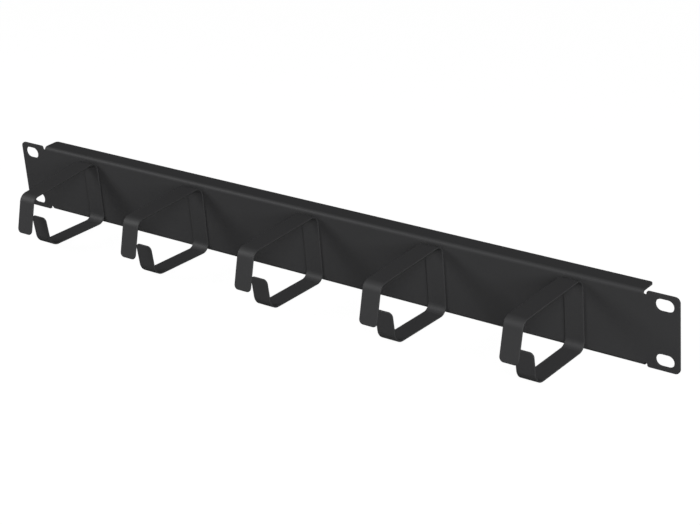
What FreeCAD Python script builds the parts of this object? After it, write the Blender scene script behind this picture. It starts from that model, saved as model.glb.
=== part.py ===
import FreeCAD, Part
import math
import os
from collections import namedtuple

# Horizontal cable manager, one rack unit high, for a 19-inch rack.
#
# One steel sheet is folded to a shallow channel with a rack ear at each end. Five steel strips,
# each bent to a ring that stays open at the front, are spot-welded to its face by their back legs.
# Patch cords are pressed in through the mouth of a ring and then lie on its lower arm.
#
# Millimetres and degrees. The origin is the centre of the rack slot pattern on the front face.
# +X runs along the panel, +Y goes back into the rack, +Z is up, and the rings stand out to -Y.

# Panel sheet. The flanges' outer faces are level with the upper and lower edges of the ears, and the
# notches between them end on the bend lines.
PANEL_LENGTH = 482.6
PANEL_HEIGHT = 44.0
EAR_WIDTH = 19.3
SHEET_THICKNESS = 1.2
SHEET_BEND_RADIUS = 1.2
FLANGE_DEPTH = 11.4
NOTCH_WIDTH = 2.0
EAR_CORNER_RADIUS = 3.0
NOTCH_CORNER_RADIUS = 1.2
FLANGE_CORNER_RADIUS = 2.0

# Rack slots, placed from the ear's outer end and edges. They come out at the rack's own spacing,
# 465.1 by 31.75.
SLOT_FROM_END = 8.75
SLOT_FROM_EDGE = 6.125
SLOT_LENGTH = 11.0
SLOT_WIDTH = 7.0

# Ring strip, measured on its outer face between the sharp corners of its bends. A ring starts
# RING_BELOW_TOP under the panel's top and reaches down as far as the panel does.
END_RING_INSET = 41.6
RING_BELOW_TOP = 1.0
STRIP_WIDTH = 12.0
STRIP_THICKNESS = 1.0
UPPER_ARM_LENGTH = 57.3
UPPER_LEG_LENGTH = 23.5
LOWER_ARM_LENGTH = 48.1
LOWER_LEG_LENGTH = 20.2
UPPER_LEG_LEAN = 16.4
LOWER_LEG_LEAN = 4.6
BACK_BEND_RADIUS = 4.5
UPPER_FRONT_BEND_RADIUS = 5.0
LOWER_FRONT_BEND_RADIUS = 6.5
LEG_CORNER_RADIUS = 2.8
STRIP_EDGE_CHAMFER = 0.2

# The rings were bent and welded by hand, so no two are quite alike. Left to right: how far the ring
# sits to the right of its place, how much its upper arm is over and its back leg is under length,
# and how many degrees its upper arm droops and its lower arm rises.
Ring = namedtuple("Ring", "shift over under droop rise")
RINGS = [
    Ring(shift=0.2, over=-1.0, under=0.8, droop=4.5, rise=1.9),
    Ring(shift=0.1, over=-0.5, under=0.0, droop=1.0, rise=2.7),
    Ring(shift=0.6, over=0.4, under=0.0, droop=1.0, rise=1.4),
    Ring(shift=-0.4, over=0.1, under=0.0, droop=1.3, rise=1.9),
    Ring(shift=0.3, over=0.1, under=0.3, droop=0.6, rise=0.4),
]

# What follows from the sizes above
CHANNEL_LENGTH = PANEL_LENGTH - 2 * (EAR_WIDTH + NOTCH_WIDTH)
SLOT_SPACING_X = PANEL_LENGTH - 2 * SLOT_FROM_END
SLOT_SPACING_Z = PANEL_HEIGHT - 2 * SLOT_FROM_EDGE
BACK_LEG_TOP = PANEL_HEIGHT / 2 - RING_BELOW_TOP
BACK_LEG_BOTTOM = -PANEL_HEIGHT / 2
FIRST_RING_X = END_RING_INSET - CHANNEL_LENGTH / 2
RING_PITCH = -2 * FIRST_RING_X / (len(RINGS) - 1)

OUT_DIR = "parts"
SHARP_ANGLE = 45.0
FILLET_LIMIT = 0.9
SAME = 1e-6


def vec(x, y, z):
    return FreeCAD.Vector(x, y, z)


def side_view(turn_out, turn_up):
    """Unit direction in the side view: out is away from the rack, up is up."""
    return vec(0, -turn_out, turn_up)


def bent_strip_face(corners, inner_radii, thickness):
    """Side view of a strip. Its outer face runs through corners and every bend turns the same way."""
    outer_edges = []
    inner_edges = []
    outer_from = corners[0]
    inner_from = None
    for before, corner, after, inner_radius in zip(corners, corners[1:], corners[2:], inner_radii):
        back = (before - corner).normalize()
        onward = (after - corner).normalize()
        half_angle = back.getAngle(onward) / 2
        middle = (back + onward).normalize()
        outer_radius = inner_radius + thickness
        centre = corner + middle * (outer_radius / math.sin(half_angle))
        run = outer_radius / math.tan(half_angle)
        outer = [corner + back * run, centre - middle * outer_radius, corner + onward * run]
        inner = [centre + (point - centre) * (inner_radius / outer_radius) for point in outer]
        if inner_from is None:
            inner_from = outer_from + (inner[0] - outer[0])
            first_cap = Part.LineSegment(inner_from, outer_from).toShape()
        outer_edges.append(Part.LineSegment(outer_from, outer[0]).toShape())
        outer_edges.append(Part.Arc(*outer).toShape())
        inner_edges.append(Part.LineSegment(inner_from, inner[0]).toShape())
        inner_edges.append(Part.Arc(*inner).toShape())
        outer_from = outer[2]
        inner_from = inner[2]
    outer_end = corners[-1]
    inner_end = outer_end + (inner_from - outer_from)
    outer_edges.append(Part.LineSegment(outer_from, outer_end).toShape())
    inner_edges.append(Part.LineSegment(inner_from, inner_end).toShape())
    last_cap = Part.LineSegment(outer_end, inner_end).toShape()
    edges = outer_edges + [last_cap] + inner_edges[::-1] + [first_cap]
    return Part.Face(Part.Wire(Part.__sortEdges__(edges)))


def bent_strip(corners, inner_radii, thickness, centre_x, width):
    """The same strip as a solid, width across, centred on centre_x."""
    face = bent_strip_face(corners, inner_radii, thickness)
    face.translate(vec(centre_x - width / 2, 0, 0))
    return face.extrude(vec(width, 0, 0))


def edges_along(shape, direction, wanted):
    """Straight edges that run along direction and whose middle passes the wanted test."""
    found = []
    for edge in shape.Edges:
        if not isinstance(edge.Curve, Part.Line):
            continue
        along = (edge.Vertexes[-1].Point - edge.Vertexes[0].Point).normalize()
        if along.cross(direction).Length < SAME and wanted(edge.CenterOfMass):
            found.append(edge)
    return found


def sharp_edges(shape):
    """Edges where two faces meet at more than SHARP_ANGLE."""
    found = []
    for edge in shape.Edges:
        faces = shape.ancestorsOfType(edge, Part.Face)
        if len(faces) != 2:
            continue
        point = edge.valueAt((edge.FirstParameter + edge.LastParameter) / 2)
        normals = [face.normalAt(*face.Surface.parameter(point)) for face in faces]
        if math.degrees(normals[0].getAngle(normals[1])) > SHARP_ANGLE:
            found.append(edge)
    return found


def plate(low_x, high_x, low_z, high_z):
    """A flat piece of the panel sheet, its front face at Y = 0."""
    return Part.makeBox(high_x - low_x, SHEET_THICKNESS, high_z - low_z, vec(low_x, 0, low_z))


def upright_slot(centre_x, low_z, high_z, width):
    """A cut through the sheet with both ends round, standing up."""
    radius = width / 2
    cut = plate(centre_x - radius, centre_x + radius, low_z + radius, high_z - radius)
    for z in (low_z + radius, high_z - radius):
        end = Part.makeCylinder(radius, SHEET_THICKNESS, vec(centre_x, 0, z), vec(0, 1, 0))
        cut = cut.fuse(end)
    return cut


def rack_slot(centre_x, centre_z):
    """A cut through the sheet with both ends round, lying along X."""
    radius = SLOT_WIDTH / 2
    reach = SLOT_LENGTH / 2 - radius
    cut = plate(centre_x - reach, centre_x + reach, centre_z - radius, centre_z + radius)
    for x in (centre_x - reach, centre_x + reach):
        end = Part.makeCylinder(radius, SHEET_THICKNESS, vec(x, 0, centre_z), vec(0, 1, 0))
        cut = cut.fuse(end)
    return cut


def folded_channel():
    """Front plate between the notches, with its two flanges folded to the back."""
    half_height = PANEL_HEIGHT / 2
    corners = [
        vec(0, FLANGE_DEPTH, half_height),
        vec(0, 0, half_height),
        vec(0, 0, -half_height),
        vec(0, FLANGE_DEPTH, -half_height),
    ]
    radii = [SHEET_BEND_RADIUS, SHEET_BEND_RADIUS]
    channel = bent_strip(corners, radii, SHEET_THICKNESS, 0, CHANNEL_LENGTH)
    back_corners = edges_along(channel, vec(0, 0, 1), lambda p: abs(p.y - FLANGE_DEPTH) < SAME)
    return channel.makeFillet(FLANGE_CORNER_RADIUS, back_corners)


def ears():
    """Flat sheet from ear to ear, no higher than the bend lines between the notches."""
    half_height = PANEL_HEIGHT / 2
    bend_line = half_height - SHEET_BEND_RADIUS - SHEET_THICKNESS
    half_channel = CHANNEL_LENGTH / 2
    inner_side = half_channel + NOTCH_WIDTH
    sheet = plate(-PANEL_LENGTH / 2, PANEL_LENGTH / 2, -half_height, half_height)
    notch_centre = half_channel + NOTCH_WIDTH / 2
    notch_end = half_height + NOTCH_WIDTH
    for low_z, high_z in ((bend_line, notch_end), (-notch_end, -bend_line)):
        sheet = sheet.cut(plate(-half_channel, half_channel, low_z, high_z))
        for centre_x in (-notch_centre, notch_centre):
            sheet = sheet.cut(upright_slot(centre_x, low_z, high_z, NOTCH_WIDTH))
    outer = edges_along(sheet, vec(0, 1, 0), lambda p: abs(abs(p.x) - PANEL_LENGTH / 2) < SAME)
    sheet = sheet.makeFillet(EAR_CORNER_RADIUS, outer)
    inner = edges_along(
        sheet,
        vec(0, 1, 0),
        lambda p: abs(abs(p.x) - inner_side) < SAME and abs(abs(p.z) - half_height) < SAME,
    )
    notch_wall = half_height - bend_line - NOTCH_WIDTH / 2
    return sheet.makeFillet(min(NOTCH_CORNER_RADIUS, FILLET_LIMIT * notch_wall), inner)


def rack_panel():
    """The folded sheet with its ears, notches and rack slots."""
    panel = folded_channel().fuse(ears()).removeSplitter()
    for x in (-SLOT_SPACING_X / 2, SLOT_SPACING_X / 2):
        for z in (-SLOT_SPACING_Z / 2, SLOT_SPACING_Z / 2):
            panel = panel.cut(rack_slot(x, z))
    return panel


def ring_corners(ring):
    """Sharp corners of a ring's outer face, from the upper leg's free end round to the lower leg's."""
    droop = math.radians(ring.droop)
    rise = math.radians(ring.rise)
    upper_lean = math.radians(UPPER_LEG_LEAN)
    lower_lean = math.radians(LOWER_LEG_LEAN)
    upper_arm = UPPER_ARM_LENGTH + ring.over
    upper_back = vec(0, 0, BACK_LEG_TOP)
    lower_back = vec(0, 0, BACK_LEG_BOTTOM + ring.under)
    upper_front = upper_back + side_view(math.cos(droop), -math.sin(droop)) * upper_arm
    lower_front = lower_back + side_view(math.cos(rise), math.sin(rise)) * LOWER_ARM_LENGTH
    upper_end = upper_front + side_view(math.sin(upper_lean), -math.cos(upper_lean)) * UPPER_LEG_LENGTH
    lower_end = lower_front + side_view(math.sin(lower_lean), math.cos(lower_lean)) * LOWER_LEG_LENGTH
    return [upper_end, upper_front, upper_back, lower_back, lower_front, lower_end]


def cable_ring(ring, place_x):
    """One bent strip. Its back leg lies flat on the panel's front face."""
    radii = [UPPER_FRONT_BEND_RADIUS, BACK_BEND_RADIUS, BACK_BEND_RADIUS, LOWER_FRONT_BEND_RADIUS]
    strip = bent_strip(ring_corners(ring), radii, STRIP_THICKNESS, place_x + ring.shift, STRIP_WIDTH)
    free_corners = [
        edge
        for edge in strip.Edges
        if abs(edge.Length - STRIP_THICKNESS) < SAME and isinstance(edge.Curve, Part.Line)
    ]
    strip = strip.makeFillet(LEG_CORNER_RADIUS, free_corners)
    return strip.makeChamfer(STRIP_EDGE_CHAMFER, sharp_edges(strip))


def save(node, shape):
    if shape.isNull() or not shape.isValid() or len(shape.Solids) != 1:
        raise ValueError(node + " is not one valid solid")
    shape.Solids[0].exportStep(os.path.join(OUT_DIR, node + ".step"))
    box = shape.optimalBoundingBox()
    print(
        "%-14s volume %8.1f mm3  X %.1f..%.1f  Y %.1f..%.1f  Z %.1f..%.1f"
        % (node, shape.Volume, box.XMin, box.XMax, box.YMin, box.YMax, box.ZMin, box.ZMax)
    )


def main():
    os.makedirs(OUT_DIR, exist_ok=True)
    save("rack_panel", rack_panel())
    for index, ring in enumerate(RINGS):
        save("cable_ring_%d" % (index + 1), cable_ring(ring, FIRST_RING_X + RING_PITCH * index))


main()
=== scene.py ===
# %% [markdown]
# # Horizontal cable manager for a 19-inch rack
#
# The object is two kinds of sheet metal work: one folded panel with slotted ears, and five strips
# bent to open rings that are welded to its face. All of it wears one coat of satin black powder.
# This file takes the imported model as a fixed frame, makes a finer skin for each piece around it,
# and lights it as a product picture on white.
#
# Lengths below are in millimetres, as on a workshop drawing, and MM turns them into metres.

import math
from collections import namedtuple

import bmesh
import bpy
from mathutils import Matrix, Vector
from mathutils.geometry import delaunay_2d_cdt


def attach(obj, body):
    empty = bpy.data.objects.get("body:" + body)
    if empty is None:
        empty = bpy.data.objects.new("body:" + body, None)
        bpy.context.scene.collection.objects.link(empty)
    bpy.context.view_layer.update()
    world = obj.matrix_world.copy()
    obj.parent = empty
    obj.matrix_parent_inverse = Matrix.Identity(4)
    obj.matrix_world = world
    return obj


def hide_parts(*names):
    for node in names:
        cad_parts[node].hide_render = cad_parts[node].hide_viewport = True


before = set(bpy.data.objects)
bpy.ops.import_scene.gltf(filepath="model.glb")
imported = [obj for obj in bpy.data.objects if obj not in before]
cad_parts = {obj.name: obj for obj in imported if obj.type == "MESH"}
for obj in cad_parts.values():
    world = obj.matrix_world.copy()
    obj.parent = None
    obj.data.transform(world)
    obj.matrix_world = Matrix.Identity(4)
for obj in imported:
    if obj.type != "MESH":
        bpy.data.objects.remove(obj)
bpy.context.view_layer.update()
MM = 0.001
scene = bpy.context.scene
scene.view_settings.view_transform = "Standard"
print("nodes:", sorted(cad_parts))

# %% [markdown]
# ## The camera
#
# The picture was taken from in front, to the right and above, with a long lens: the two ends of the
# panel differ little in size. The place and the turn were found by matching the ears, the slots and
# the long edges, whose real sizes are those of the rack standard. A camera looks along its own -Z,
# so it is stood upright first, turned round the object, and at last rolled about its view.

# %% Camera
CAMERA_PLACE = Vector((667.5, -773.1, 453.2)) * MM
CAMERA_AZIMUTH = math.radians(39.62)
CAMERA_ELEVATION = math.radians(24.55)
CAMERA_ROLL = math.radians(-4.645)
CAMERA_LENS = 98.47
CAMERA_SENSOR = 36.0
NEAREST_SEEN = 10 * MM
FARTHEST_SEEN = 20000 * MM


def add_camera():
    data = bpy.data.cameras.new("photo_camera")
    data.sensor_width = CAMERA_SENSOR
    data.lens = CAMERA_LENS
    data.clip_start = NEAREST_SEEN
    data.clip_end = FARTHEST_SEEN
    camera = bpy.data.objects.new("photo_camera", data)
    turn = Matrix.Rotation(CAMERA_AZIMUTH, 4, "Z")
    tilt = Matrix.Rotation(math.radians(90) - CAMERA_ELEVATION, 4, "X")
    roll = Matrix.Rotation(CAMERA_ROLL, 4, "Z")
    camera.matrix_world = Matrix.Translation(CAMERA_PLACE) @ turn @ tilt @ roll
    scene.collection.objects.link(camera)
    return camera


scene.camera = add_camera()
print("camera distance: %.3f m" % CAMERA_PLACE.length)

# %% [markdown]
# ## Helpers for node trees
#
# Materials and Geometry Nodes are both graphs of nodes. One rule fills an input everywhere below: a
# socket is wired to it, and anything else becomes the input's own value. The other helpers add a
# node with its options and inputs, do arithmetic, blend two colours and open a new group.

# %% Add a node
def feed(tree, target, value):
    if isinstance(value, bpy.types.NodeSocket):
        tree.links.new(value, target)
    else:
        target.default_value = value


def add_node(tree, kind, inputs=None, **options):
    made = tree.nodes.new(kind)
    for name, value in options.items():
        setattr(made, name, value)
    for key, value in (inputs or {}).items():
        feed(tree, made.inputs[key], value)
    return made


def math_node(tree, operation, first, second=0.0):
    return add_node(tree, "ShaderNodeMath", {0: first, 1: second}, operation=operation).outputs[0]


def mix_colour(tree, factor, first, second):
    """A blend of two colours. Sockets 6, 7 and 2 are the node's own places for colours."""
    wired = {0: factor, 6: first, 7: second}
    return add_node(tree, "ShaderNodeMix", wired, data_type="RGBA").outputs[2]


# %% Open a group
def new_group(name, kind, inputs, outputs):
    """A node group with named sockets. Returns the tree, what it is given and what it gives back."""
    tree = bpy.data.node_groups.new(name, kind)
    for label, socket_type, value in inputs:
        socket = tree.interface.new_socket(label, in_out="INPUT", socket_type=socket_type)
        if value is not None:
            socket.default_value = value
    for label, socket_type in outputs:
        tree.interface.new_socket(label, in_out="OUTPUT", socket_type=socket_type)
    source = tree.nodes.new("NodeGroupInput")
    sink = tree.nodes.new("NodeGroupOutput")
    return tree, source.outputs, sink.inputs


# %% [markdown]
# ## The coat's surface, as a shared group
#
# Powder coat is sprayed as dust and melts in an oven. It sets to a fine, shallow orange peel with a
# few tiny grains in it, and from place to place it lies a little thicker or thinner. The group gives
# a height for that peel, and a roughness and a tone that drift slowly over the surface. It reads
# Object coordinates, which are metres here, so a size in the group is a real size.

# %% Powder coat group
GRAIN_SHARE = 0.25
DRIFT_MEAN = 0.5


def powder_coat_group():
    inputs = [
        ("Peel size", "NodeSocketFloat", 1.1 * MM),
        ("Grain size", "NodeSocketFloat", 0.25 * MM),
        ("Drift size", "NodeSocketFloat", 60 * MM),
        ("Roughness", "NodeSocketFloat", 0.4),
        ("Roughness drift", "NodeSocketFloat", 0.06),
    ]
    outputs = [
        ("Height", "NodeSocketFloat"),
        ("Roughness", "NodeSocketFloat"),
        ("Tone", "NodeSocketFloat"),
    ]
    tree, given, result = new_group("powder_coat_surface", "ShaderNodeTree", inputs, outputs)
    place = add_node(tree, "ShaderNodeTexCoord").outputs["Object"]

    def noise(size, detail):
        scale = math_node(tree, "DIVIDE", 1.0, size)
        wired = {"Vector": place, "Scale": scale, "Detail": detail}
        return add_node(tree, "ShaderNodeTexNoise", wired).outputs["Fac"]

    peel = noise(given["Peel size"], 1.0)
    grain = noise(given["Grain size"], 0.0)
    drift = noise(given["Drift size"], 3.0)
    grain_part = math_node(tree, "MULTIPLY", grain, GRAIN_SHARE)
    height = math_node(tree, "ADD", peel, grain_part)
    centred = math_node(tree, "SUBTRACT", drift, DRIFT_MEAN)
    swing = math_node(tree, "MULTIPLY", centred, given["Roughness drift"])
    roughness = math_node(tree, "ADD", given["Roughness"], swing)
    tree.links.new(height, result["Height"])
    tree.links.new(roughness, result["Roughness"])
    tree.links.new(drift, result["Tone"])
    return tree


COAT_GROUP = powder_coat_group()
print("group:", COAT_GROUP.name, "nodes:", len(COAT_GROUP.nodes))

# %% [markdown]
# ## Black powder coat, on the panel and on the rings
#
# Both are the same powder, from one oven. Narrow strip comes out a little glossier than wide flat
# sheet, with a finer and slightly stronger peel, so the two finishes share the group and differ in a
# few values. The specular level stays on the shader's own socket, and only what changes over the
# surface comes from the group. The black leans to blue by a few percent, as carbon black does.

# %% Coat materials
Finish = namedtuple("Finish", "dark light roughness peel_size bump")
PANEL_FINISH = Finish(dark=0.047, light=0.053, roughness=0.58, peel_size=1.2, bump=0.10)
RING_FINISH = Finish(dark=0.047, light=0.053, roughness=0.55, peel_size=0.9, bump=0.12)
PEEL_HEIGHT = 0.02 * MM
COAT_SPECULAR = 0.35
BLUE_LEAN = 1.03


def black(value):
    return (value, value, value * BLUE_LEAN, 1.0)


def coat_material(name, finish):
    material = bpy.data.materials.new(name)
    material.use_nodes = True
    tree = material.node_tree
    tree.nodes.clear()
    own = {"Roughness": finish.roughness, "Peel size": finish.peel_size * MM}
    surface = add_node(tree, "ShaderNodeGroup", own, node_tree=COAT_GROUP).outputs
    wired = {"Height": surface["Height"], "Strength": finish.bump, "Distance": PEEL_HEIGHT}
    bump = add_node(tree, "ShaderNodeBump", wired)
    wired = {
        "Base Color": mix_colour(tree, surface["Tone"], black(finish.dark), black(finish.light)),
        "Roughness": surface["Roughness"],
        "Normal": bump.outputs["Normal"],
        "Specular IOR Level": COAT_SPECULAR,
    }
    shader = add_node(tree, "ShaderNodeBsdfPrincipled", wired)
    add_node(tree, "ShaderNodeOutputMaterial", {"Surface": shader.outputs["BSDF"]})
    return material


PANEL_COAT = coat_material("panel_powder_coat", PANEL_FINISH)
RING_COAT = coat_material("ring_powder_coat", RING_FINISH)
print("materials:", PANEL_COAT.name, RING_COAT.name)

# %% [markdown]
# ## The panel: cut flat, edges rounded, then folded
#
# A press shop cuts the panel from flat sheet first and folds it after. The same order works here.
# The blank's outline is a list of straight runs and arcs. Each edge of it is rounded over as the
# coat rounds it, and the inside is filled with triangles that never cross a bend line. Then every
# point beyond a bend line is rolled round the bend, to its place on the flange. A subdivided box
# could be bent by a modifier too, but the slots and notches would smear, and here they stay exact.

# %% Sizes of the blank
PANEL_HALF_LENGTH = 241.3
PANEL_HALF_HEIGHT = 22.0
EAR_WIDTH = 19.3
NOTCH_WIDTH = 2.0
SHEET_THICKNESS = 1.2
BEND_OUTER_RADIUS = 2.4
FLANGE_DEPTH = 11.4

EAR_INNER = PANEL_HALF_LENGTH - EAR_WIDTH
CHANNEL_HALF_LENGTH = EAR_INNER - NOTCH_WIDTH
BEND_LINE = PANEL_HALF_HEIGHT - BEND_OUTER_RADIUS
BEND_RUN = BEND_OUTER_RADIUS * math.pi / 2
BLANK_HALF_HEIGHT = BEND_LINE + BEND_RUN + FLANGE_DEPTH - BEND_OUTER_RADIUS
print("blank: %.1f x %.1f mm" % (2 * PANEL_HALF_LENGTH, 2 * BLANK_HALF_HEIGHT))

# %% [markdown]
# The outline runs once round the blank with the metal on its left hand. Its four quarters mirror
# each other, so only the upper right one is spelled out. Along the flange's end it has a point at
# each level where the bend is divided, because a straight edge couldn't be rolled otherwise. A level
# within LEVEL_GAP of the notch's last point has that point already.

# %% Outline of the blank
EAR_CORNER = 3.0
NOTCH_CORNER = 1.2
FLANGE_CORNER = 2.0
ARC_STEPS = 10
BEND_STEPS = 10
LEVEL_GAP = 0.05
bend_levels = [BEND_LINE + BEND_RUN * step / BEND_STEPS for step in range(BEND_STEPS + 1)]


def arc(centre_x, centre_z, radius, from_degrees, to_degrees):
    points = []
    for step in range(ARC_STEPS + 1):
        angle = math.radians(from_degrees + (to_degrees - from_degrees) * step / ARC_STEPS)
        points.append((centre_x + radius * math.cos(angle), centre_z + radius * math.sin(angle)))
    return points


def quarter_outline():
    """From the ear's outer end up round its corners, down and up the notch, and onto the flange."""
    notch_radius = NOTCH_WIDTH / 2
    notch_floor = BEND_LINE + notch_radius
    ear_x = PANEL_HALF_LENGTH - EAR_CORNER
    flange_x = CHANNEL_HALF_LENGTH - FLANGE_CORNER
    flange_z = BLANK_HALF_HEIGHT - FLANGE_CORNER
    points = arc(ear_x, PANEL_HALF_HEIGHT - EAR_CORNER, EAR_CORNER, 0, 90)
    points += arc(EAR_INNER + NOTCH_CORNER, PANEL_HALF_HEIGHT - NOTCH_CORNER, NOTCH_CORNER, 90, 180)
    points += arc(CHANNEL_HALF_LENGTH + notch_radius, notch_floor, notch_radius, 0, -180)
    points += [(CHANNEL_HALF_LENGTH, z) for z in bend_levels if z > notch_floor + LEVEL_GAP]
    points += arc(flange_x, flange_z, FLANGE_CORNER, 0, 90)
    return points


def blank_outline():
    first = quarter_outline()
    second = [(-x, z) for x, z in reversed(first)]
    third = [(-x, -z) for x, z in first]
    fourth = [(x, -z) for x, z in reversed(first)]
    return first + second + third + fourth


outline = blank_outline()
print("points round the blank:", len(outline))

# %% Slots in the ears
SLOT_LENGTH = 11.0
SLOT_WIDTH = 7.0
SLOT_FROM_END = 8.75
SLOT_FROM_EDGE = 6.125


def slot_outline(centre_x, centre_z):
    """Clockwise, so that the metal is on the left hand, as it is along the outer outline."""
    radius = SLOT_WIDTH / 2
    reach = SLOT_LENGTH / 2 - radius
    right = arc(centre_x + reach, centre_z, radius, 90, -90)
    left = arc(centre_x - reach, centre_z, radius, -90, -270)
    return right + left


slot_x = PANEL_HALF_LENGTH - SLOT_FROM_END
slot_z = PANEL_HALF_HEIGHT - SLOT_FROM_EDGE
slots = [slot_outline(x, z) for x in (-slot_x, slot_x) for z in (-slot_z, slot_z)]
print("slots:", len(slots), "apart: %.1f x %.2f mm" % (2 * slot_x, 2 * slot_z))


# %% Fold a point of the blank
NOTCH_MIDDLE = EAR_INNER - NOTCH_WIDTH / 2


def fold(x, along, depth, normal):
    """A point of the flat blank and its normal, carried to their place on the folded panel.

    The ears stay flat. The notch's floor touches the bend line at the notch's middle, so the fold
    begins there from nothing.
    """
    if abs(along) <= BEND_LINE or abs(x) > NOTCH_MIDDLE:
        return Vector((x, depth, along)), Vector(normal)
    side = math.copysign(1.0, along)
    beyond = abs(along) - BEND_LINE
    angle = min(beyond / BEND_OUTER_RADIUS, math.pi / 2)
    straight = max(beyond - BEND_RUN, 0.0)
    radius = BEND_OUTER_RADIUS - depth
    place = Vector((
        x,
        BEND_OUTER_RADIUS - radius * math.cos(angle) + straight,
        side * (BEND_LINE + radius * math.sin(angle)),
    ))
    through = Vector((0, math.cos(angle), -side * math.sin(angle)))
    outward = Vector((0, side * math.sin(angle), math.cos(angle)))
    turned = Vector((normal[0], 0, 0)) + through * normal[1] + outward * normal[2]
    return place, turned


flange_edge, _ = fold(0, BLANK_HALF_HEIGHT, 0, (0, -1, 0))
print("the top flange's edge folds to y %.1f, z %.1f mm" % (flange_edge.y, flange_edge.z))


# %% How an edge of the sheet is rounded
SHEET_EDGE_ROUND = 0.2
ROUND_STEPS = 3


def rounded_profile(thickness, radius):
    """(inset, depth, share of the normal that faces outward, share that faces along the depth)"""
    front = []
    for step in range(ROUND_STEPS + 1):
        angle = math.pi / 2 * step / ROUND_STEPS
        sine = math.sin(angle)
        cosine = math.cos(angle)
        front.append((radius * (1 - sine), radius * (1 - cosine), sine, -cosine))
    back = [(inset, thickness - depth, out, -deep) for inset, depth, out, deep in reversed(front)]
    return front + back


PROFILE = rounded_profile(SHEET_THICKNESS, SHEET_EDGE_ROUND)
print("points across an edge:", len(PROFILE))


# %% Points of a rim, and the way inward from them
SAME_POINT = 1e-6


def without_repeats(rim):
    kept = []
    for point in rim:
        if not kept or (Vector(point) - Vector(kept[-1])).length > SAME_POINT:
            kept.append(point)
    return kept


def inward_steps(rim):
    """For each point of a rim, its normal and the step that moves both its edges one unit inward."""
    steps = []
    for index, here in enumerate(rim):
        before = Vector(here) - Vector(rim[index - 1])
        after = Vector(rim[(index + 1) % len(rim)]) - Vector(here)
        sides = [Vector((-edge.y, edge.x)).normalized() for edge in (before, after)]
        middle = (sides[0] + sides[1]).normalized()
        steps.append((middle, middle / middle.dot(sides[0])))
    return steps


print("points round a slot:", len(inward_steps(without_repeats(slots[0]))))

# %% [markdown]
# The profile is carried along every rim. `Skin` collects the folded panel's points, normals and
# faces. `Sheet` keeps the flat blank inside the rims: its points, which point of the skin each one
# is on the front and on the back, and the edges that no triangle may cross.

# %% Carry the profile along a rim
Skin = namedtuple("Skin", "places normals faces")
Sheet = namedtuple("Sheet", "points front back edges")


def put(skin, x, along, depth, normal):
    """Fold one point of the blank and add it to the skin. Returns its number there."""
    place, turned = fold(x, along, depth, normal)
    skin.places.append(place * MM)
    skin.normals.append(turned.normalized())
    return len(skin.places) - 1


def add_rim(skin, sheet, rim):
    """Round the sheet over along a rim. Returns the line where the rounding meets the flat front."""
    rim = without_repeats(rim)
    steps = inward_steps(rim)
    rows = []
    for inset, depth, out, deep in PROFILE:
        row = []
        for (x, z), (inward, shift) in zip(rim, steps):
            moved = Vector((x, z)) + shift * inset
            row.append(put(skin, moved.x, moved.y, depth, (-inward.x * out, deep, -inward.y * out)))
        rows.append(row)
    for row, below in zip(rows, rows[1:]):
        for i in range(len(rim)):
            skin.faces.append((row[i], row[i - 1], below[i - 1], below[i]))
    first = len(sheet.points)
    line = [Vector(point) + shift * PROFILE[0][0] for point, (_, shift) in zip(rim, steps)]
    sheet.points.extend(line)
    sheet.front.extend(rows[0])
    sheet.back.extend(rows[-1])
    sheet.edges.extend((first + i, first + (i + 1) % len(rim)) for i in range(len(rim)))
    return line


# %% Fill the sheet between its rims
TOUCHING = 1e-3
LINE_END = CHANNEL_HALF_LENGTH - SHEET_EDGE_ROUND


def add_bend_line(skin, sheet, along):
    """An edge straight across the blank. Where a rim has a point at its end, that one is used."""
    ends = []
    for x in (-LINE_END, LINE_END):
        end = Vector((x, along))
        near = [i for i, point in enumerate(sheet.points) if (point - end).length < TOUCHING]
        if near:
            ends.append(near[0])
            continue
        sheet.points.append(end)
        sheet.front.append(put(skin, x, along, 0, (0, -1, 0)))
        sheet.back.append(put(skin, x, along, SHEET_THICKNESS, (0, 1, 0)))
        ends.append(len(sheet.points) - 1)
    sheet.edges.append(tuple(ends))


def inside(point, rim):
    """Even-odd test: does a ray from the point cross the rim an odd number of times?"""
    x, z = point
    odd = False
    for index, (ax, az) in enumerate(rim):
        bx, bz = rim[index - 1]
        if (az > z) != (bz > z) and x < ax + (z - az) / (bz - az) * (bx - ax):
            odd = not odd
    return odd


def fill_sheet(skin, sheet, outer, holes):
    """Triangles over the metal, once for the front and once, turned over, for the back."""
    filled = delaunay_2d_cdt(sheet.points, sheet.edges, [], 0, SAME_POINT)
    points, _, triangles, origins, _, _ = filled
    for triangle in triangles:
        middle = sum((points[i] for i in triangle), Vector((0, 0))) / 3
        if not inside(middle, outer) or any(inside(middle, hole) for hole in holes):
            continue
        source = [origins[i][0] for i in triangle]
        skin.faces.append([sheet.front[i] for i in source])
        skin.faces.append([sheet.back[i] for i in reversed(source)])


# %% Build the folded panel
def build_panel():
    skin = Skin([], [], [])
    sheet = Sheet([], [], [], [])
    outer, *holes = [add_rim(skin, sheet, rim) for rim in [outline] + slots]
    for level in bend_levels:
        for along in (-level, level):
            add_bend_line(skin, sheet, along)
    fill_sheet(skin, sheet, outer, holes)
    mesh = bpy.data.meshes.new("folded_panel")
    mesh.from_pydata(skin.places, [], skin.faces)
    mesh.shade_smooth()
    mesh.normals_split_custom_set_from_vertices(skin.normals)
    mesh.materials.append(PANEL_COAT)
    panel = bpy.data.objects.new("folded_panel", mesh)
    scene.collection.objects.link(panel)
    return panel


panel = build_panel()
print("panel points:", len(panel.data.vertices), "faces:", len(panel.data.polygons))

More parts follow.
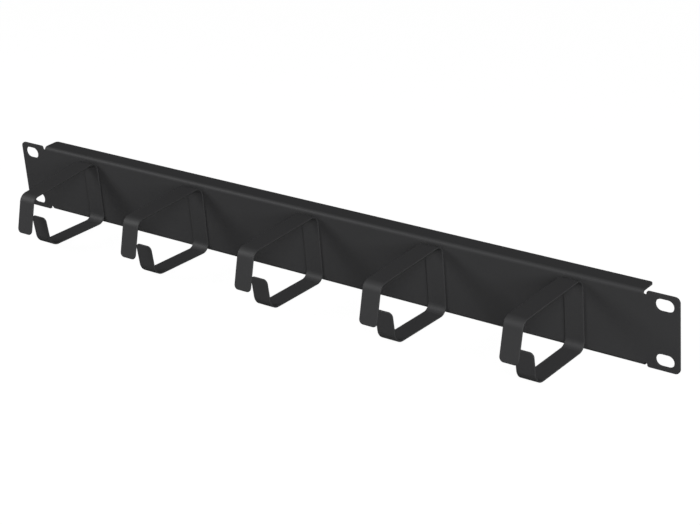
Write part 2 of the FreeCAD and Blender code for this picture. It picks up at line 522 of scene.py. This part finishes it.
# %% [markdown]
# ## The rings: one tree bends a ribbon round five paths
#
# Every ring is one strip bent four times: an upper leg, an upper arm, a back leg, a lower arm and a
# lower leg. Geometry Nodes suit this well. The tree places six corner points from named lengths and
# angles, rounds the inner four with Fillet Curve, and pulls the line out sideways to a ribbon. The
# five rings use the same tree with their own numbers, because hands bent them and no two agree.

# %% Parts of the bending tree
UPRIGHT = math.radians(90)


def run(tree, start, length, turn):
    """From start, a run of this length straight out of the panel, turned down by an angle."""
    back = math_node(tree, "MULTIPLY", length, -1.0)
    out = add_node(tree, "ShaderNodeCombineXYZ", {"Y": back}).outputs[0]
    wired = {"Vector": out, "Angle": turn}
    turned = add_node(tree, "ShaderNodeVectorRotate", wired, rotation_type="X_AXIS").outputs[0]
    return add_node(tree, "ShaderNodeVectorMath", {0: start, 1: turned}, operation="ADD").outputs[0]


def corner_points(tree, given):
    """The line's two ends and four corners, from the end of the upper leg to that of the lower."""
    side = given["Left side"]
    upper_back = add_node(tree, "ShaderNodeCombineXYZ", {"X": side, "Z": given["Top"]}).outputs[0]
    lower_back = add_node(tree, "ShaderNodeCombineXYZ", {"X": side, "Z": given["Bottom"]}).outputs[0]
    rise_turn = math_node(tree, "MULTIPLY", given["Rise"], -1.0)
    upper_front = run(tree, upper_back, given["Upper arm"], given["Droop"])
    lower_front = run(tree, lower_back, given["Lower arm"], rise_turn)
    upper_turn = math_node(tree, "SUBTRACT", UPRIGHT, given["Upper lean"])
    lower_turn = math_node(tree, "SUBTRACT", given["Lower lean"], UPRIGHT)
    upper_end = run(tree, upper_front, given["Upper leg"], upper_turn)
    lower_end = run(tree, lower_front, given["Lower leg"], lower_turn)
    return [upper_end, upper_front, upper_back, lower_back, lower_front, lower_end]


def choose(tree, kind, values):
    """A field: the first value at a line's first point, the second at its second, and so on."""
    index = add_node(tree, "GeometryNodeInputIndex").outputs[0]
    switch = add_node(tree, "GeometryNodeIndexSwitch", data_type=kind)
    while len(switch.index_switch_items) < len(values):
        switch.index_switch_items.new()
    for socket, value in zip(list(switch.inputs), [index] + values):
        feed(tree, socket, value)
    return switch.outputs[0]


# %% The bending tree
LENGTHS = ["Left side", "Top", "Bottom", "Upper arm", "Upper leg", "Lower arm", "Lower leg", "Width"]
ANGLES = ["Droop", "Rise", "Upper lean", "Lower lean"]
RADII = ["Back bend", "Upper front bend", "Lower front bend"]
BEND_POINTS = 12


def bent_ribbon_tree():
    inputs = [(name, "NodeSocketFloat", 0.0) for name in LENGTHS + ANGLES + RADII]
    inputs += [("Bend steps", "NodeSocketInt", BEND_POINTS), ("Coat", "NodeSocketMaterial", None)]
    outputs = [("Geometry", "NodeSocketGeometry")]
    tree, given, result = new_group("bent_ribbon", "GeometryNodeTree", inputs, outputs)

    def step(kind, wired, **options):
        return add_node(tree, kind, wired, **options).outputs[0]

    corners = corner_points(tree, given)
    radii = [given[name] for name in ("Upper front bend", "Back bend", "Back bend", "Lower front bend")]
    place = choose(tree, "VECTOR", corners)
    radius = choose(tree, "FLOAT", [0.0] + radii + [0.0])
    line = step("GeometryNodeMeshLine", {"Count": len(corners)})
    placed = step("GeometryNodeSetPosition", {"Geometry": line, "Position": place})
    path = step("GeometryNodeMeshToCurve", {"Mesh": placed})
    wired = {"Curve": path, "Count": given["Bend steps"], "Radius": radius}
    bent = step("GeometryNodeFilletCurve", wired, mode="POLY")
    chain = step("GeometryNodeCurveToMesh", {"Curve": bent})
    sideways = step("ShaderNodeCombineXYZ", {"X": given["Width"]})
    wired = {"Mesh": chain, "Offset": sideways, "Offset Scale": 1.0}
    ribbon = step("GeometryNodeExtrudeMesh", wired, mode="EDGES")
    whole = step("GeometryNodeRealizeInstances", {"Geometry": ribbon})
    coated = step("GeometryNodeSetMaterial", {"Geometry": whole, "Material": given["Coat"]})
    tree.links.new(coated, result["Geometry"])
    return tree


RIBBON_TREE = bent_ribbon_tree()
print("tree:", RIBBON_TREE.name, "nodes:", len(RIBBON_TREE.nodes))

# %% [markdown]
# The five strips are cut to one pattern. A bend's radius is that of the strip's outer face, which is
# the face that the line runs along. What sets one ring apart is in a short table: how far it sits to
# the right of its place, how much its upper arm is over and its back leg is under length, and the
# degrees by which its upper arm droops and its lower arm rises.

# %% Sizes of the strip, and how the rings differ
STRIP_WIDTH = 12.0
UPPER_ARM = 57.3
UPPER_LEG = 23.5
LOWER_ARM = 48.1
LOWER_LEG = 20.2
UPPER_LEG_LEAN = 16.4
LOWER_LEG_LEAN = 4.6
BACK_BEND = 5.5
UPPER_FRONT_BEND = 6.0
LOWER_FRONT_BEND = 7.5
RING_TOP = 21.0
RING_BOTTOM = -22.0
RING_PITCH = 89.2

Ring = namedtuple("Ring", "shift over under droop rise")
RINGS = [
    Ring(shift=0.2, over=-1.0, under=0.8, droop=4.5, rise=1.9),
    Ring(shift=0.1, over=-0.5, under=0.0, droop=1.0, rise=2.7),
    Ring(shift=0.6, over=0.4, under=0.0, droop=1.0, rise=1.4),
    Ring(shift=-0.4, over=0.1, under=0.0, droop=1.3, rise=1.9),
    Ring(shift=0.3, over=0.1, under=0.3, droop=0.6, rise=0.4),
]


def ribbon_inputs(number, ring):
    centre = RING_PITCH * (number - (len(RINGS) + 1) / 2) + ring.shift
    lengths = {
        "Left side": centre - STRIP_WIDTH / 2,
        "Top": RING_TOP,
        "Bottom": RING_BOTTOM + ring.under,
        "Upper arm": UPPER_ARM + ring.over,
        "Upper leg": UPPER_LEG,
        "Lower arm": LOWER_ARM,
        "Lower leg": LOWER_LEG,
        "Width": STRIP_WIDTH,
        "Back bend": BACK_BEND,
        "Upper front bend": UPPER_FRONT_BEND,
        "Lower front bend": LOWER_FRONT_BEND,
    }
    degrees = {
        "Droop": ring.droop,
        "Rise": ring.rise,
        "Upper lean": UPPER_LEG_LEAN,
        "Lower lean": LOWER_LEG_LEAN,
    }
    values = {name: length * MM for name, length in lengths.items()}
    values.update((name, math.radians(angle)) for name, angle in degrees.items())
    values.update({"Bend steps": BEND_POINTS, "Coat": RING_COAT})
    return values


print("inputs of a ring:", len(ribbon_inputs(1, RINGS[0])))


# %% Bend a ribbon and round its corners
LEG_CORNER = 2.8
LEG_CORNER_STEPS = 8


def ribbon_mesh(name, values):
    """The tree's result for these inputs, as a plain mesh."""
    holder = bpy.data.objects.new(name, bpy.data.meshes.new(name))
    scene.collection.objects.link(holder)
    modifier = holder.modifiers.new("bend", "NODES")
    modifier.node_group = RIBBON_TREE
    for item in RIBBON_TREE.interface.items_tree:
        if item.in_out == "INPUT":
            modifier[item.identifier] = values[item.name]
    bpy.context.view_layer.update()
    evaluated = holder.evaluated_get(bpy.context.evaluated_depsgraph_get())
    mesh = bpy.data.meshes.new_from_object(evaluated)
    bpy.data.objects.remove(holder)
    return mesh


def round_leg_corners(mesh):
    """The strip's four free corners are rounded off, as the shear and the file leave them."""
    shape = bmesh.new()
    shape.from_mesh(mesh)
    corners = [v for v in shape.verts if len(v.link_edges) == 2]
    bmesh.ops.bevel(
        shape,
        geom=corners,
        offset=LEG_CORNER * MM,
        offset_type="OFFSET",
        segments=LEG_CORNER_STEPS,
        profile=0.5,
        affect="VERTICES",
        clamp_overlap=False,
    )
    shape.to_mesh(mesh)
    shape.free()
    return len(corners)


# %% Make the five rings
STRIP_THICKNESS = 1.0
STRIP_EDGE_ROUND = 0.45
EDGE_STEPS = 4
SHARP_DEGREES = 50


def make_ring(number, ring):
    """Bend the ribbon, give it its thickness towards the ring's inside, and round its long edges."""
    name = "bent_ring_%d" % number
    mesh = ribbon_mesh(name, ribbon_inputs(number, ring))
    corners = round_leg_corners(mesh)
    mesh.shade_smooth()
    piece = bpy.data.objects.new(name, mesh)
    scene.collection.objects.link(piece)
    wall = piece.modifiers.new("thickness", "SOLIDIFY")
    wall.thickness = STRIP_THICKNESS * MM
    wall.offset = -1.0
    wall.use_even_offset = True
    edge = piece.modifiers.new("edge", "BEVEL")
    edge.width = STRIP_EDGE_ROUND * MM
    edge.segments = EDGE_STEPS
    edge.limit_method = "ANGLE"
    edge.angle_limit = math.radians(SHARP_DEGREES)
    piece.modifiers.new("flat faces stay flat", "WEIGHTED_NORMAL").keep_sharp = False
    print(piece.name, "corners:", corners, "ribbon faces:", len(mesh.polygons))
    return piece


rings = [make_ring(number, ring) for number, ring in enumerate(RINGS, 1)]

# %% [markdown]
# ## Tell the frame what each piece stands for
#
# Nothing moves on this object, so every piece rides on the one body, root. Each new skin replaces
# the plain solid inside it, which is hidden.

# %% Tie the pieces to the frame
def dress(piece, node):
    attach(piece, "root")
    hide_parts(node)
    print(piece.name, "stands for", node)


dress(panel, "rack_panel")
for number, piece in enumerate(rings, 1):
    dress(piece, "cable_ring_%d" % number)

# %% [markdown]
# ## A white floor that takes a shadow
#
# The picture is a cut-out on pure white. To the camera the floor glows white, and a tenth of it still
# takes light, so the object keeps a faint shadow. The glow is a little over 1, because it makes up
# only nine tenths of what the camera sees. To every other ray it is a plain grey floor, because the
# photographed undersides are dark: nothing bright lay below them.

# %% Floor
WHITE = (1, 1, 1, 1)
FLOOR_SIZE = 6.0
FLOOR_GAP = 0.1 * MM
FLOOR_GREY = 0.26
FLOOR_WHITE = 1.07
GLOW_SHARE = 0.9


def is_camera_ray(tree):
    return add_node(tree, "ShaderNodeLightPath").outputs["Is Camera Ray"]


def floor_material():
    material = bpy.data.materials.new("white_floor")
    material.use_nodes = True
    tree = material.node_tree
    tree.nodes.clear()
    camera_ray = is_camera_ray(tree)
    share = math_node(tree, "MULTIPLY", camera_ray, GLOW_SHARE)
    grey = (FLOOR_GREY, FLOOR_GREY, FLOOR_GREY, 1)
    matt = add_node(tree, "ShaderNodeBsdfDiffuse", {"Color": mix_colour(tree, camera_ray, grey, WHITE)})
    glow = add_node(tree, "ShaderNodeEmission", {"Color": WHITE, "Strength": FLOOR_WHITE})
    blend = add_node(tree, "ShaderNodeMixShader", {0: share, 1: matt.outputs[0], 2: glow.outputs[0]})
    add_node(tree, "ShaderNodeOutputMaterial", {"Surface": blend.outputs[0]})
    return material


def add_floor():
    half = FLOOR_SIZE / 2
    height = -PANEL_HALF_HEIGHT * MM - FLOOR_GAP
    corners = [(x * half, y * half, height) for x, y in ((-1, -1), (1, -1), (1, 1), (-1, 1))]
    mesh = bpy.data.meshes.new("floor")
    mesh.from_pydata(corners, [], [(0, 1, 2, 3)])
    mesh.materials.append(floor_material())
    floor = bpy.data.objects.new("floor", mesh)
    scene.collection.objects.link(floor)
    print("floor: %.0f m square at z %.1f mm" % (FLOOR_SIZE, height / MM))


add_floor()

# %% World
WORLD_LIGHT = 0.01
WORLD_WHITE = 1.0


def add_world():
    """White where the camera looks past the floor, and next to no light for the object."""
    world = bpy.data.worlds.new("white_room")
    scene.world = world
    world.use_nodes = True
    tree = world.node_tree
    tree.nodes.clear()
    dim, white = [
        add_node(tree, "ShaderNodeBackground", {"Color": WHITE, "Strength": strength}).outputs[0]
        for strength in (WORLD_LIGHT, WORLD_WHITE)
    ]
    blend = add_node(tree, "ShaderNodeMixShader", {0: is_camera_ray(tree), 1: dim, 2: white})
    add_node(tree, "ShaderNodeOutputWorld", {"Surface": blend.outputs[0]})
    print("world:", world.name)


add_world()

# %% [markdown]
# ## The lamps
#
# Two softboxes light the object: a large one on the right, a little beyond the camera's own side,
# and a smaller, nearer one on the left. Each arm throws one soft slanting shadow to either side of
# its ring, and where two shadows cross, the face is darkest. A dim fill stands behind, so that views
# from there can be read. Nothing mirrors it, and the photographed side gets next to none of it. A
# lamp is placed by its turn from straight in front, its height in degrees, and its distance; that
# distance, its width and its height are in metres, and its power in watts.

# %% Lights
Lamp = namedtuple("Lamp", "name azimuth elevation distance width height power mirrored")
RIGHT = Lamp("right_softbox", 56, 27, distance=1.8, width=1.0, height=1.0, power=24.0, mirrored=True)
LEFT = Lamp("left_softbox", -51, 34.5, distance=1.05, width=0.4, height=0.4, power=3.7, mirrored=True)
BACK = Lamp("back_fill", 180, 5, distance=1.6, width=0.8, height=0.5, power=5.0, mirrored=False)


def add_lamp(lamp):
    data = bpy.data.lights.new(lamp.name, "AREA")
    data.shape = "RECTANGLE"
    data.size = lamp.width
    data.size_y = lamp.height
    data.energy = lamp.power
    light = bpy.data.objects.new(lamp.name, data)
    azimuth = math.radians(lamp.azimuth)
    elevation = math.radians(lamp.elevation)
    level = math.cos(elevation)
    outward = Vector((math.sin(azimuth) * level, -math.cos(azimuth) * level, math.sin(elevation)))
    light.location = outward * lamp.distance
    light.rotation_euler = outward.to_track_quat("Z", "Y").to_euler()
    light.visible_glossy = lamp.mirrored
    scene.collection.objects.link(light)
    print(light.name, "at", [round(part, 2) for part in light.location])


for lamp in (RIGHT, LEFT, BACK):
    add_lamp(lamp)
